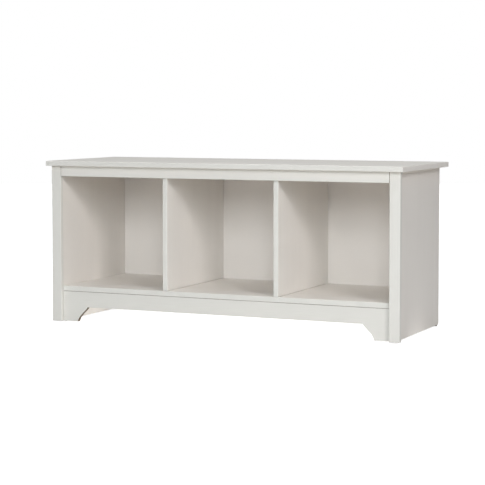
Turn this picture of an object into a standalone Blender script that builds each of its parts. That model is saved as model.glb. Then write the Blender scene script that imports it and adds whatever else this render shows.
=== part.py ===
"""Entryway bench with three open cubbies, built from laminated boards.

Metres. The origin is on the floor under the centre of the top. The bench
faces -Y, its length runs along X and Z points up.
"""

import math

import bmesh
import bpy
from mathutils import Matrix, Vector
from mathutils.geometry import interpolate_bezier

# Driving dimensions of the whole bench
HEIGHT = 0.508
TOP_LENGTH = 1.171
TOP_DEPTH = 0.438
FRAME_LENGTH = 1.1466
FRONT_OVERHANG = 0.0163
GAP = 0.0003

# Boards
BOARD = 0.0155
FRAME_BOARD = 0.014
STILE_WIDTH = 0.0323
STILE_OVERLAP = 0.0155
RAIL_DEPTH = 0.0323
RAIL_REVEAL = 0.0004
SHELF_TOP = 0.1155
APRON_EDGE = 0.051
BACK_THICKNESS = 0.003
BACK_INSET = 0.0018
BACK_SETIN = 0.0002
EDGE_ROUND = 0.0008

# Feet of the front apron, measured inwards from the outer face of the stile
FOOT_REACH = 0.083
BRACKET_REACH = 0.117
FOOT_CURVE_LOW = 0.018
FOOT_CURVE_HIGH = 0.008
FOOT_CURVE_POINTS = 12

# Hardware
CAM_RADIUS = 0.0075
CAM_DEPTH = 0.0125
CAM_SLOT_LENGTH = 0.010
CAM_SLOT_WIDTH = 0.0018
CAM_SLOT_DEPTH = 0.0022
CAM_BOLT_REACH = 0.024
CAM_SETBACK = 0.060
CAM_BOLT_HOLE = 0.004
BOLT_HEAD_RADIUS = 0.0032
BOLT_HEAD_DEPTH = 0.004
BOLT_NECK_RADIUS = 0.0018
BOLT_SHANK_RADIUS = 0.0026
BOLT_COLLAR_RADIUS = 0.0034
BOLT_COLLAR_DEPTH = 0.002
BOLT_TIP = 0.0015
THREAD_RADIUS = 0.003
THREAD_LENGTH = 0.0105
DOWEL_RADIUS = 0.004
SLIM_DOWEL_RADIUS = 0.003
DOWEL_DEEP = 0.020
DOWEL_SHALLOW = 0.0095
DOWEL_CHAMFER = 0.001
SCREW_LENGTH = 0.048
SCREW_HEAD_RADIUS = 0.0048
SCREW_HEAD_DEPTH = 0.0032
SCREW_SHANK_RADIUS = 0.0024
SCREW_SOCKET_RADIUS = 0.002
SCREW_SOCKET_DEPTH = 0.002
SCREW_TIP = 0.003
GLIDE_HEIGHT = 0.005
GLIDE_RADIUS = 0.005
GLIDE_PIN_RADIUS = 0.0012
GLIDE_PIN_LENGTH = 0.012
GLIDE_REAR_INSET = 0.006
GLIDE_FRONT_INSET = 0.030
GLIDE_SOFT_EDGE = 0.001
STILE_DOWEL_HEIGHTS = (("lower", 0.100), ("upper", 0.400))
RAIL_DOWEL_X = 0.300
APRON_DOWELS = (("left", -0.400), ("middle", 0.0), ("right", 0.400))
REAR_APRON_DOWELS = (("left", -0.300), ("right", 0.300))

ROUND_SIDES = 12
CAM_SIDES = 24
MERGE_DISTANCE = 0.00001
ROUNDED_ANGLE = math.radians(40)
DRILL_LEAD = 0.002

# Planes that several pieces share
TOP_UNDERSIDE = HEIGHT - BOARD
STILE_FACE = -TOP_DEPTH / 2 + FRONT_OVERHANG
FRAME_BACK = STILE_FACE + FRAME_BOARD
CARCASS_FRONT = FRAME_BACK + GAP
BACK_REAR = TOP_DEPTH / 2 - BACK_SETIN
CARCASS_BACK = BACK_REAR - BACK_THICKNESS - GAP
FRAME_OUTER = FRAME_LENGTH / 2
STILE_INNER = FRAME_OUTER - STILE_WIDTH
SIDE_OUTER = FRAME_OUTER - STILE_OVERLAP
SIDE_INNER = SIDE_OUTER - BOARD
SIDE_MIDDLE = (SIDE_OUTER + SIDE_INNER) / 2
SHELF_UNDERSIDE = SHELF_TOP - BOARD
SHELF_MIDDLE = SHELF_TOP - BOARD / 2
CUBBY_WIDTH = (2 * SIDE_INNER - 2 * BOARD) / 3
DIVIDER_MIDDLE = (CUBBY_WIDTH + BOARD) / 2
FRONT_CAM = CARCASS_FRONT + CAM_SETBACK
REAR_CAM = CARCASS_BACK - CAM_SETBACK
UP = (0, 0, 1)
DOWN = (0, 0, -1)
BACKWARD = (0, 1, 0)
SIDES = (("left", -1), ("right", 1))
ENDS = (("front", FRONT_CAM), ("rear", REAR_CAM))

COLOURS = {
    "white_laminate": ((0.80, 0.795, 0.775), 0.42, 0.0),
    "cubby_laminate": ((0.78, 0.77, 0.75), 0.48, 0.0),
    "white_hardboard": ((0.76, 0.755, 0.74), 0.60, 0.0),
    "zinc_cam": ((0.62, 0.62, 0.63), 0.38, 1.0),
    "zinc_bolt": ((0.66, 0.66, 0.67), 0.30, 1.0),
    "steel_screw": ((0.58, 0.57, 0.52), 0.35, 1.0),
    "beech_dowel": ((0.62, 0.44, 0.27), 0.75, 0.0),
    "brown_plastic": ((0.10, 0.075, 0.06), 0.50, 0.0),
}


def clear_scene():
    for old in list(bpy.data.objects):
        bpy.data.objects.remove(old, do_unlink=True)


def make_collection(name):
    collection = bpy.data.collections.new(name)
    bpy.context.scene.collection.children.link(collection)
    return collection


def make_materials():
    materials = {}
    for name, (colour, roughness, metallic) in COLOURS.items():
        material = bpy.data.materials.new(name)
        material.use_nodes = True
        shader = material.node_tree.nodes["Principled BSDF"]
        shader.inputs["Base Color"].default_value = (*colour, 1.0)
        shader.inputs["Roughness"].default_value = roughness
        shader.inputs["Metallic"].default_value = metallic
        materials[name] = material
    return materials


def mesh_from(name, shape):
    mesh = bpy.data.meshes.new(name)
    shape.to_mesh(mesh)
    shape.free()
    return mesh


def place(name, mesh, location, material, collection):
    piece = bpy.data.objects.new(name, mesh)
    piece.location = location
    mesh.materials.clear()
    mesh.materials.append(material)
    collection.objects.link(piece)
    return piece


def soften(piece, radius=EDGE_ROUND, segments=1):
    bevel = piece.modifiers.new("edge_round", "BEVEL")
    bevel.width = radius
    bevel.segments = segments
    bevel.limit_method = "ANGLE"
    bevel.angle_limit = ROUNDED_ANGLE
    return piece


def board(name, low, high, material, segments=1):
    """A flat board between two corners, its edges a little rounded."""
    low = Vector(low)
    high = Vector(high)
    shape = bmesh.new()
    bmesh.ops.create_cube(shape, size=1.0, matrix=Matrix.Diagonal((*(high - low), 1.0)))
    piece = place(name, mesh_from(name, shape), (low + high) / 2, material, bench)
    return soften(piece, segments=segments)


def rod_mesh(name, radius, length, sides, chamfer=0.0):
    """A round rod along Z that starts at its own origin."""
    shape = bmesh.new()
    middle = Matrix.Translation((0, 0, length / 2))
    bmesh.ops.create_cone(
        shape,
        cap_ends=True,
        segments=sides,
        radius1=radius,
        radius2=radius,
        depth=length,
        matrix=middle,
    )
    if chamfer:
        rims = [edge for edge in shape.edges if any(len(face.verts) > 4 for face in edge.link_faces)]
        bmesh.ops.bevel(shape, geom=rims, offset=chamfer, segments=1, affect="EDGES", profile=0.5)
    return mesh_from(name, shape)


def turned_mesh(name, profile, sides):
    """A round solid along Z from (radius, height) points that run from its top to its base."""
    shape = bmesh.new()
    points = [shape.verts.new((radius, 0.0, height)) for radius, height in profile]
    edges = [shape.edges.new(pair) for pair in zip(points, points[1:])]
    bmesh.ops.spin(
        shape,
        geom=points + edges,
        cent=(0, 0, 0),
        axis=(0, 0, 1),
        angle=math.tau,
        steps=sides,
        use_merge=True,
    )
    bmesh.ops.remove_doubles(shape, verts=shape.verts, dist=MERGE_DISTANCE)
    bmesh.ops.recalc_face_normals(shape, faces=shape.faces)
    return mesh_from(name, shape)


def aim(piece, direction):
    piece.rotation_mode = "QUATERNION"
    piece.rotation_quaternion = Vector(direction).to_track_quat("Z", "Y")
    return piece


def smooth(piece):
    for face in piece.data.polygons:
        face.use_smooth = len(face.vertices) == 4
    return piece


def cut(piece, cutter):
    cutter.hide_render = True
    cutter.display_type = "WIRE"
    removal = piece.modifiers.new(cutter.name, "BOOLEAN")
    removal.operation = "DIFFERENCE"
    removal.solver = "EXACT"
    removal.object = cutter


def bore(piece, mouth, direction, radius, depth, sides=ROUND_SIDES):
    """Drills a round blind hole into a board. The drill starts a little outside it."""
    name = f"{piece.name}_bore_{len(piece.modifiers)}"
    direction = Vector(direction)
    mesh = rod_mesh(name, radius, depth + DRILL_LEAD, sides)
    start = Vector(mouth) - direction * DRILL_LEAD
    cutter = aim(place(name, mesh, start, materials["zinc_cam"], cutters), direction)
    cut(piece, cutter)


def apron_outline():
    """The front apron from end to end: a foot at each end, joined by an S curve to the raised middle."""
    half = SIDE_INNER - GAP
    foot = FRAME_OUTER - FOOT_REACH
    bracket = FRAME_OUTER - BRACKET_REACH
    upper = SHELF_UNDERSIDE - GAP
    curve = interpolate_bezier(
        Vector((foot, GLIDE_HEIGHT)),
        Vector((foot, GLIDE_HEIGHT + FOOT_CURVE_LOW)),
        Vector((bracket, APRON_EDGE - FOOT_CURVE_HIGH)),
        Vector((bracket, APRON_EDGE)),
        FOOT_CURVE_POINTS,
    )
    right = [(point.x, point.y) for point in curve]
    left = [(-x, z) for x, z in right]
    start = [(-half, upper), (-half, GLIDE_HEIGHT)]
    end = [(half, GLIDE_HEIGHT), (half, upper)]
    return start + left + right[::-1] + end


def plate_mesh(name, outline, thickness):
    """A flat plate cut to an outline in X and Z, centred on its own thickness."""
    curve = bpy.data.curves.new(name + "_outline", "CURVE")
    curve.dimensions = "2D"
    curve.fill_mode = "BOTH"
    curve.extrude = thickness / 2
    spline = curve.splines.new("POLY")
    spline.points.add(len(outline) - 1)
    for point, (x, z) in zip(spline.points, outline):
        point.co = (x, z, 0.0, 1.0)
    spline.use_cyclic_u = True
    guide = bpy.data.objects.new(name + "_outline", curve)
    cutters.objects.link(guide)
    bpy.context.view_layer.update()
    mesh = bpy.data.meshes.new_from_object(guide)
    bpy.data.objects.remove(guide)
    shape = bmesh.new()
    shape.from_mesh(mesh)
    bmesh.ops.remove_doubles(shape, verts=shape.verts, dist=MERGE_DISTANCE)
    bmesh.ops.rotate(shape, verts=shape.verts, matrix=Matrix.Rotation(math.pi / 2, 3, "X"))
    bpy.data.meshes.remove(mesh)
    return mesh_from(name, shape)


def build_top():
    low = (-TOP_LENGTH / 2, -TOP_DEPTH / 2, TOP_UNDERSIDE)
    high = (TOP_LENGTH / 2, TOP_DEPTH / 2, HEIGHT)
    boards["seat_top"] = board("seat_top", low, high, materials["white_laminate"], segments=2)


def build_sides():
    for side, sign in SIDES:
        name = f"{side}_side_panel"
        xs = sorted((sign * SIDE_INNER, sign * SIDE_OUTER))
        low = (xs[0], CARCASS_FRONT, GLIDE_HEIGHT)
        high = (xs[1], CARCASS_BACK, TOP_UNDERSIDE - GAP)
        boards[name] = board(name, low, high, materials["white_laminate"])


def build_face_frame():
    for side, sign in SIDES:
        name = f"{side}_front_stile"
        xs = sorted((sign * STILE_INNER, sign * FRAME_OUTER))
        low = (xs[0], STILE_FACE, GLIDE_HEIGHT)
        high = (xs[1], FRAME_BACK, TOP_UNDERSIDE - GAP)
        boards[name] = board(name, low, high, materials["white_laminate"])
    half = STILE_INNER - GAP
    low = (-half, STILE_FACE + RAIL_REVEAL, TOP_UNDERSIDE - RAIL_DEPTH)
    high = (half, FRAME_BACK, TOP_UNDERSIDE - GAP)
    boards["top_front_rail"] = board("top_front_rail", low, high, materials["white_laminate"])


def build_shelf_and_dividers():
    half = SIDE_INNER - GAP
    low = (-half, CARCASS_FRONT, SHELF_UNDERSIDE)
    high = (half, CARCASS_BACK, SHELF_TOP)
    boards["bottom_shelf"] = board("bottom_shelf", low, high, materials["cubby_laminate"])
    for side, sign in SIDES:
        name = f"{side}_divider"
        middle = sign * DIVIDER_MIDDLE
        low = (middle - BOARD / 2, CARCASS_FRONT, SHELF_TOP + GAP)
        high = (middle + BOARD / 2, CARCASS_BACK, TOP_UNDERSIDE - GAP)
        boards[name] = board(name, low, high, materials["cubby_laminate"])


def build_aprons():
    mesh = plate_mesh("front_apron", apron_outline(), BOARD)
    location = (0, CARCASS_FRONT + BOARD / 2, 0)
    boards["front_apron"] = place("front_apron", mesh, location, materials["white_laminate"], bench)
    half = SIDE_INNER - GAP
    low = (-half, CARCASS_BACK - BOARD, APRON_EDGE)
    high = (half, CARCASS_BACK, SHELF_UNDERSIDE - GAP)
    boards["rear_apron"] = board("rear_apron", low, high, materials["white_laminate"])


def build_back():
    half = SIDE_OUTER - BACK_INSET
    low = (-half, BACK_REAR - BACK_THICKNESS, APRON_EDGE + BACK_INSET)
    high = (half, BACK_REAR, TOP_UNDERSIDE - BACK_INSET)
    boards["back_panel"] = board("back_panel", low, high, materials["white_hardboard"])


def add_cam(label, panel, face_point, inward, bolt_way):
    """A cam lock let into a panel's face. Returns the point in it where the bolt's head sits."""
    bore(panel, face_point, inward, CAM_RADIUS, CAM_DEPTH, CAM_SIDES)
    drum = rod_mesh("cam_drum", CAM_RADIUS - GAP, CAM_DEPTH - GAP, CAM_SIDES)
    cam = place(f"cam_lock_{label}", drum, face_point, materials["zinc_cam"], bench)
    aim(cam, inward)
    inward = Vector(inward)
    bolt_way = Vector(bolt_way)
    across = inward.cross(bolt_way)
    for number, (long_way, other_way) in enumerate(((bolt_way, across), (across, bolt_way))):
        size = long_way * CAM_SLOT_LENGTH + other_way * CAM_SLOT_WIDTH + inward * CAM_SLOT_DEPTH * 2
        scale = Matrix.Diagonal((abs(size.x), abs(size.y), abs(size.z), 1.0))
        shape = bmesh.new()
        bmesh.ops.create_cube(shape, size=1.0, matrix=scale)
        mesh = mesh_from(f"{cam.name}_slot_{number}", shape)
        cut(cam, place(mesh.name, mesh, face_point, materials["zinc_cam"], cutters))
    centre = Vector(face_point) + inward * BOARD / 2
    mouth = centre + bolt_way * CAM_RADIUS
    bore(cam, mouth, -bolt_way, CAM_BOLT_HOLE - GAP, CAM_RADIUS + BOLT_HEAD_DEPTH)
    return centre


def bolt_mesh():
    """A cam bolt along Z: its head is at the origin and its thread points up."""
    tip = CAM_BOLT_REACH + THREAD_LENGTH - GAP
    profile = (
        (0.0, tip),
        (THREAD_RADIUS - 2 * GAP, tip),
        (THREAD_RADIUS - GAP, tip - BOLT_TIP),
        (THREAD_RADIUS - GAP, CAM_BOLT_REACH - GAP),
        (BOLT_COLLAR_RADIUS, CAM_BOLT_REACH - GAP),
        (BOLT_COLLAR_RADIUS, CAM_BOLT_REACH - BOLT_COLLAR_DEPTH),
        (BOLT_SHANK_RADIUS, CAM_BOLT_REACH - BOLT_COLLAR_DEPTH),
        (BOLT_SHANK_RADIUS, BOLT_HEAD_DEPTH),
        (BOLT_NECK_RADIUS, BOLT_HEAD_DEPTH),
        (BOLT_NECK_RADIUS, BOLT_HEAD_DEPTH / 4),
        (BOLT_HEAD_RADIUS, BOLT_HEAD_DEPTH / 4),
        (BOLT_HEAD_RADIUS, -BOLT_HEAD_DEPTH / 2),
        (0.0, -BOLT_HEAD_DEPTH / 2),
    )
    return turned_mesh("cam_bolt", profile, ROUND_SIDES)


def add_bolt(label, head_point, way, panel):
    """A cam bolt from its head to the panel that its thread goes into."""
    bolt = place(f"cam_bolt_{label}", bolt_mesh(), head_point, materials["zinc_bolt"], bench)
    smooth(aim(bolt, way))
    mouth = Vector(head_point) + Vector(way) * CAM_BOLT_REACH
    bore(panel, mouth, way, THREAD_RADIUS, THREAD_LENGTH)


def join_top_to_sides():
    for side, sign in SIDES:
        panel = boards[f"{side}_side_panel"]
        for end, y in ENDS:
            label = f"top_{side}_{end}"
            edge_height = TOP_UNDERSIDE - GAP
            face_point = (sign * SIDE_INNER, y, edge_height - CAM_BOLT_REACH)
            bore(panel, (sign * SIDE_MIDDLE, y, edge_height), DOWN, CAM_BOLT_HOLE, CAM_BOLT_REACH)
            head_point = add_cam(label, panel, face_point, (sign, 0, 0), UP)
            add_bolt(label, head_point, UP, boards["seat_top"])


def join_shelf_to_sides():
    shelf = boards["bottom_shelf"]
    for side, sign in SIDES:
        for end, y in ENDS:
            label = f"shelf_{side}_{end}"
            outward = (sign, 0, 0)
            end_x = SIDE_INNER - GAP
            face_point = (sign * (end_x - CAM_BOLT_REACH), y, SHELF_UNDERSIDE)
            mouth = (sign * end_x, y, SHELF_MIDDLE)
            bore(shelf, mouth, (-sign, 0, 0), CAM_BOLT_HOLE, CAM_BOLT_REACH)
            head_point = add_cam(label, shelf, face_point, UP, outward)
            add_bolt(label, head_point, outward, boards[f"{side}_side_panel"])


def add_dowel(name, joint, way, deep_board, shallow_board, radius=DOWEL_RADIUS):
    """A wooden dowel across a joint, longer on the side that it points to."""
    way = Vector(way)
    joint = Vector(joint)
    length = DOWEL_DEEP + DOWEL_SHALLOW - GAP
    mesh = rod_mesh(name, radius, length, ROUND_SIDES, DOWEL_CHAMFER)
    dowel = place(name, mesh, joint - way * (DOWEL_SHALLOW - GAP), materials["beech_dowel"], bench)
    aim(dowel, way)
    bore(deep_board, joint, way, radius + GAP, DOWEL_DEEP + GAP)
    bore(shallow_board, joint, -way, radius + GAP, DOWEL_SHALLOW + GAP)


def join_dividers():
    profile = (
        (0.0, SCREW_LENGTH),
        (SCREW_SHANK_RADIUS / 3, SCREW_LENGTH),
        (SCREW_SHANK_RADIUS, SCREW_LENGTH - SCREW_TIP),
        (SCREW_SHANK_RADIUS, SCREW_HEAD_DEPTH),
        (SCREW_HEAD_RADIUS, SCREW_HEAD_DEPTH / 3),
        (SCREW_HEAD_RADIUS, 0.0),
        (SCREW_SOCKET_RADIUS, 0.0),
        (SCREW_SOCKET_RADIUS, SCREW_SOCKET_DEPTH),
        (0.0, SCREW_SOCKET_DEPTH),
    )
    shelf = boards["bottom_shelf"]
    for side, sign in SIDES:
        divider = boards[f"{side}_divider"]
        for end, y in ENDS:
            x = sign * DIVIDER_MIDDLE
            name = f"divider_screw_{side}_{end}"
            start = Vector((x, y, SHELF_UNDERSIDE + GAP))
            screw = turned_mesh(name, profile, ROUND_SIDES)
            smooth(place(name, screw, start, materials["steel_screw"], bench))
            bore(shelf, (x, y, SHELF_UNDERSIDE), UP, SCREW_HEAD_RADIUS + GAP, SCREW_HEAD_DEPTH + GAP)
            bore(shelf, start, UP, SCREW_SHANK_RADIUS + GAP, BOARD + GAP)
            thread_depth = SCREW_LENGTH - BOARD + GAP
            bore(divider, (x, y, SHELF_TOP), UP, SCREW_SHANK_RADIUS + GAP, thread_depth)
            joint = (x, y, TOP_UNDERSIDE - GAP)
            add_dowel(f"divider_dowel_{side}_{end}", joint, DOWN, divider, boards["seat_top"])


def join_face_frame():
    rail = boards["top_front_rail"]
    rail_y = (STILE_FACE + RAIL_REVEAL + FRAME_BACK) / 2
    rail_z = TOP_UNDERSIDE - RAIL_DEPTH / 2
    for side, sign in SIDES:
        stile = boards[f"{side}_front_stile"]
        panel = boards[f"{side}_side_panel"]
        for level, z in STILE_DOWEL_HEIGHTS:
            joint = (sign * SIDE_MIDDLE, CARCASS_FRONT, z)
            add_dowel(f"stile_dowel_{side}_{level}", joint, BACKWARD, panel, stile)
        joint = (sign * (STILE_INNER - GAP), rail_y, rail_z)
        name = f"rail_end_dowel_{side}"
        add_dowel(name, joint, (-sign, 0, 0), rail, stile, SLIM_DOWEL_RADIUS)
        joint = (sign * RAIL_DOWEL_X, rail_y, TOP_UNDERSIDE - GAP)
        name = f"rail_top_dowel_{side}"
        add_dowel(name, joint, DOWN, rail, boards["seat_top"], SLIM_DOWEL_RADIUS)


def join_aprons():
    shelf = boards["bottom_shelf"]
    joint_z = SHELF_UNDERSIDE - GAP
    for label, x in APRON_DOWELS:
        joint = (x, CARCASS_FRONT + BOARD / 2, joint_z)
        add_dowel(f"front_apron_dowel_{label}", joint, DOWN, boards["front_apron"], shelf)
    for label, x in REAR_APRON_DOWELS:
        joint = (x, CARCASS_BACK - BOARD / 2, joint_z)
        add_dowel(f"rear_apron_dowel_{label}", joint, DOWN, boards["rear_apron"], shelf)


def add_glides():
    """Nail-on glides under the side panels keep every board off the floor."""
    underside = GLIDE_HEIGHT - GAP
    profile = (
        (0.0, GLIDE_HEIGHT + GLIDE_PIN_LENGTH),
        (GLIDE_PIN_RADIUS, GLIDE_HEIGHT + GLIDE_PIN_LENGTH),
        (GLIDE_PIN_RADIUS, underside),
        (GLIDE_RADIUS, underside),
        (GLIDE_RADIUS, GLIDE_SOFT_EDGE),
        (GLIDE_RADIUS - GLIDE_SOFT_EDGE, 0.0),
        (0.0, 0.0),
    )
    ends = (
        ("front", CARCASS_FRONT + GLIDE_FRONT_INSET),
        ("rear", CARCASS_BACK - GLIDE_REAR_INSET),
    )
    for side, sign in SIDES:
        panel = boards[f"{side}_side_panel"]
        for end, y in ends:
            name = f"floor_glide_{side}_{end}"
            mesh = turned_mesh(name, profile, ROUND_SIDES)
            spot = (sign * SIDE_MIDDLE, y, 0.0)
            smooth(place(name, mesh, spot, materials["brown_plastic"], bench))
            mouth = (sign * SIDE_MIDDLE, y, GLIDE_HEIGHT)
            bore(panel, mouth, UP, GLIDE_PIN_RADIUS + GAP, GLIDE_PIN_LENGTH + GAP)


clear_scene()
bench = make_collection("entryway_bench")
cutters = make_collection("drills_and_cutters")
materials = make_materials()
boards = {}
build_top()
build_sides()
build_face_frame()
build_shelf_and_dividers()
build_aprons()
build_back()
join_top_to_sides()
join_shelf_to_sides()
join_dividers()
join_face_frame()
join_aprons()
add_glides()
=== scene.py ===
"""Finished pieces, studio and camera for an entryway bench with three open cubbies.

Every piece takes its size and place from the frame's own nodes. Metres throughout:
X runs along the bench, -Y is its front and Z points up from the floor.
"""

import math

import bmesh
import bpy
from bpy.props import FloatProperty, FloatVectorProperty, IntProperty, PointerProperty
from mathutils import Matrix, Vector


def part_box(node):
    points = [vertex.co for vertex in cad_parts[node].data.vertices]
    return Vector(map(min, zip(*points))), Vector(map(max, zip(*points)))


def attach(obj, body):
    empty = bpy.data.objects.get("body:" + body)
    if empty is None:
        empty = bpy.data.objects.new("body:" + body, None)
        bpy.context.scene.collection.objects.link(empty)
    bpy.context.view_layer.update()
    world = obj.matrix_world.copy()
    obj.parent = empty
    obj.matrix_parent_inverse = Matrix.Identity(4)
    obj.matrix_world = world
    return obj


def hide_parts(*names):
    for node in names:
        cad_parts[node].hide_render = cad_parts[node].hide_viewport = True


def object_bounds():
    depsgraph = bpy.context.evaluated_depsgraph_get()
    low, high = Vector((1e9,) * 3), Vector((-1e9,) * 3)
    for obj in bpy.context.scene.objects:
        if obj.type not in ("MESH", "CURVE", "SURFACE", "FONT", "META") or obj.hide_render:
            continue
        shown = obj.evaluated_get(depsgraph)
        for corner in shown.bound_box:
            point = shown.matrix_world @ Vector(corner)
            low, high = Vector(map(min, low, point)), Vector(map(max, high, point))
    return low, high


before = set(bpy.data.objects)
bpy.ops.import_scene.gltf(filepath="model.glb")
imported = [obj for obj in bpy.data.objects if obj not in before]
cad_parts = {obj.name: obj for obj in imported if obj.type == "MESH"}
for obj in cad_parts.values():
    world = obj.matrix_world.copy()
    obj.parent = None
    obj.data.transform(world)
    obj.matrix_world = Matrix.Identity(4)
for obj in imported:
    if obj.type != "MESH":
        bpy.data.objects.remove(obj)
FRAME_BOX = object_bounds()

bl_info = {
    "name": "Entryway Bench",
    "version": (1, 0, 0),
    "blender": (4, 5, 0),
    "location": "View3D > Sidebar > Bench",
    "description": "Builds the finished boards, fittings and studio of a three-cubby entryway bench",
    "category": "Add Mesh",
}

ROOT = "root"
X, Y, Z = 0, 1, 2
AXIS_NAMES = "xyz"
SIDES = (("left", -1), ("right", 1))
BOTH = ("left", "right")
ENDS = ("front", "rear")
LEVELS = ("lower", "upper")
APRON_DOWELS = ("left", "middle", "right")

# Material places on a board: its faces, its banded edges and its sawn edges.
FACE, BAND, RAW = 0, 1, 2

# Points nearer than this are one point, and angles that count as flat or sharp.
MERGE = 0.00001
FLAT = math.radians(1.0)
SHARP = math.radians(40.0)
PARALLEL = 0.9

# Sides of round cutters and turned pieces.
DRILL_SIDES = 32
TURNED_STEPS = 32
PIN_SIDES = 12
FLOOR_SIDES = 64

# Panel pins, cam locks, screws and dowels.
PIN_TAPER = 0.6
CAM_RIM = 0.0005
CAM_WAIST = 0.0006
CROSS_LENGTH = 0.0096
CROSS_WIDTH = 0.0019
CROSS_DEPTH = 0.0026
CROSS_TAPER = (0.72, 0.62, 1.0)
POINTER_RADIUS = 0.0011
POINTER_DEPTH = 0.0010
POINTER_PLACE = 0.60
SOCKET_MOUTH = 0.0023
SOCKET_FLOOR = 0.0022
SOCKET_DEPTH = 0.0025
THREAD_START = 0.40
THREAD_PITCH = 0.003
THREAD_DEPTH = 0.0008
THREAD_END = 0.004
DOWEL_FLUTES = 12
SIDES_PER_FLUTE = 4
FLUTE_DEPTH = 0.93
DOWEL_TIP = 0.90
STEEP_STEP = 0.16
SLOW_STEP = 0.36

# Studio: colours of the lamps and floor, the glow of the floor, and the camera.
WHITE = (1.0, 1.0, 1.0)
WARM = (1.02, 0.995, 0.985)
COOL = (0.972, 1.0, 1.008)
FLOOR_GREY = (0.80, 0.80, 0.80)
FAR_GLOW = 1.2
GLOW_RISES = (0.95, 0.55)
PATCH_REACH = (1.15, 0.9)
PATCH_EDGE = 0.3
LIGHT_AIM = Vector((0.0, 0.0, 0.25))
CAMERA_PLACE = (2.01857, -4.46607, 0.67913)
CAMERA_YAW = 24.427
CAMERA_PITCH = 3.183
CAMERA_SHIFT = -0.10
SENSOR_WIDTH = 36.0
CLIP_START = 0.1
CLIP_END = 60.0


# ---------------------------------------------------------------- settings


class BenchSizes(bpy.types.PropertyGroup):
    """Small dimensions of the finishing work that the frame leaves open."""

    top_radius: FloatProperty(
        name="Top edge radius",
        description="Rounding of the seat board's edges",
        default=0.0015,
        min=0.0,
        unit="LENGTH",
    )
    board_radius: FloatProperty(
        name="Board edge radius",
        description="Rounding of the edges of every other board",
        default=0.0010,
        min=0.0,
        unit="LENGTH",
    )
    shadow_gap: FloatProperty(
        name="Shadow gap",
        description="Extra gap over the front apron, which reads as a thin dark line",
        default=0.0007,
        min=0.0,
        unit="LENGTH",
    )
    apron_gap: FloatProperty(
        name="Apron gap",
        description="Extra clearance at each end of the front apron",
        default=0.0006,
        min=0.0,
        unit="LENGTH",
    )
    rail_gap: FloatProperty(
        name="Rail gap",
        description="Extra gap between each end of the rail and its stile",
        default=0.0008,
        min=0.0,
        unit="LENGTH",
    )
    apron_radius: FloatProperty(
        name="Apron arris",
        description="Sanded arris along the apron's sawn outline",
        default=0.0006,
        min=0.0,
        unit="LENGTH",
    )
    hardboard_radius: FloatProperty(
        name="Hardboard arris",
        description="Softness of the hardboard's sawn edges",
        default=0.0004,
        min=0.0,
        unit="LENGTH",
    )
    edge_steps: IntProperty(
        name="Edge steps",
        description="Facets across each rounded edge",
        default=3,
        min=1,
    )
    drill_clearance: FloatProperty(
        name="Drill clearance",
        description="Play between a fitting and the hole drilled for it",
        default=0.0003,
        min=0.0,
        unit="LENGTH",
    )
    glide_pin_radius: FloatProperty(
        name="Glide nail radius",
        description="Radius of the nail that each glide is moulded with",
        default=0.0012,
        min=0.0,
        unit="LENGTH",
    )
    pin_head_radius: FloatProperty(
        name="Panel pin radius",
        description="Radius of the heads of the pins that hold the back",
        default=0.0021,
        min=0.0,
        unit="LENGTH",
    )
    pin_spacing: FloatProperty(
        name="Panel pin spacing",
        description="Greatest distance between two pins along an edge of the back",
        default=0.125,
        min=0.01,
        unit="LENGTH",
    )


class BenchColours(bpy.types.PropertyGroup):
    """Base colours of the finishes."""

    laminate: FloatVectorProperty(
        name="White laminate",
        description="Foil on the outer boards",
        default=(0.908, 0.871, 0.828),
        subtype="COLOR",
    )
    # Darker and cooler than the white laminate: painted shade on the stiles, the rail and the front
    # apron, whose faces point at the lights.
    shaded_frame_foil: FloatVectorProperty(
        name="Frame foil",
        description="Wrap on the stiles, the rail and the front apron",
        default=(0.826, 0.814, 0.772),
        subtype="COLOR",
    )
    # Darker than the seat's faces: painted shade on the seat board's rounded taped edges, which
    # catch the overhead light.
    shaded_seat_tape: FloatVectorProperty(
        name="Seat edge tape",
        description="Tape along the seat board's front and rear edges",
        default=(0.800, 0.787, 0.746),
        subtype="COLOR",
    )
    # Lighter than the white laminate: painted light that brightens the shaded insides of the
    # cubbies.
    cubby_laminate: FloatVectorProperty(
        name="Cubby laminate",
        description="Foil on the shelf and the dividers",
        default=(0.938, 0.908, 0.870),
        subtype="COLOR",
    )
    # Warm beige, darker than the seat's top: painted shade, as light bounced off the seat's
    # underside darkens and warms the tops of the cubbies.
    underside_shade: FloatVectorProperty(
        name="Backing foil",
        description="Balancing foil on the underside of the seat board",
        default=(0.800, 0.690, 0.560),
        subtype="COLOR",
    )
    hardboard: FloatVectorProperty(
        name="Painted hardboard",
        description="White face of the back",
        default=(0.950, 0.916, 0.882),
        subtype="COLOR",
    )
    hardboard_rear: FloatVectorProperty(
        name="Raw hardboard",
        description="Brown rear face of the back",
        default=(0.360, 0.225, 0.125),
        subtype="COLOR",
    )
    chipboard: FloatVectorProperty(
        name="Chipboard",
        description="Sawn core of the boards",
        default=(0.225, 0.172, 0.122),
        subtype="COLOR",
    )
    zinc: FloatVectorProperty(
        name="Die-cast zinc",
        description="Cam locks",
        default=(0.620, 0.620, 0.630),
        subtype="COLOR",
    )
    bolt: FloatVectorProperty(
        name="Bright zinc plate",
        description="Cam bolts and panel pins",
        default=(0.660, 0.660, 0.670),
        subtype="COLOR",
    )
    screw: FloatVectorProperty(
        name="Yellow passivated steel",
        description="Divider screws",
        default=(0.600, 0.560, 0.450),
        subtype="COLOR",
    )
    beech: FloatVectorProperty(
        name="Beech",
        description="Fluted dowels",
        default=(0.620, 0.440, 0.270),
        subtype="COLOR",
    )
    plastic: FloatVectorProperty(
        name="Brown plastic",
        description="Floor glides",
        default=(0.150, 0.115, 0.090),
        subtype="COLOR",
    )


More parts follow.
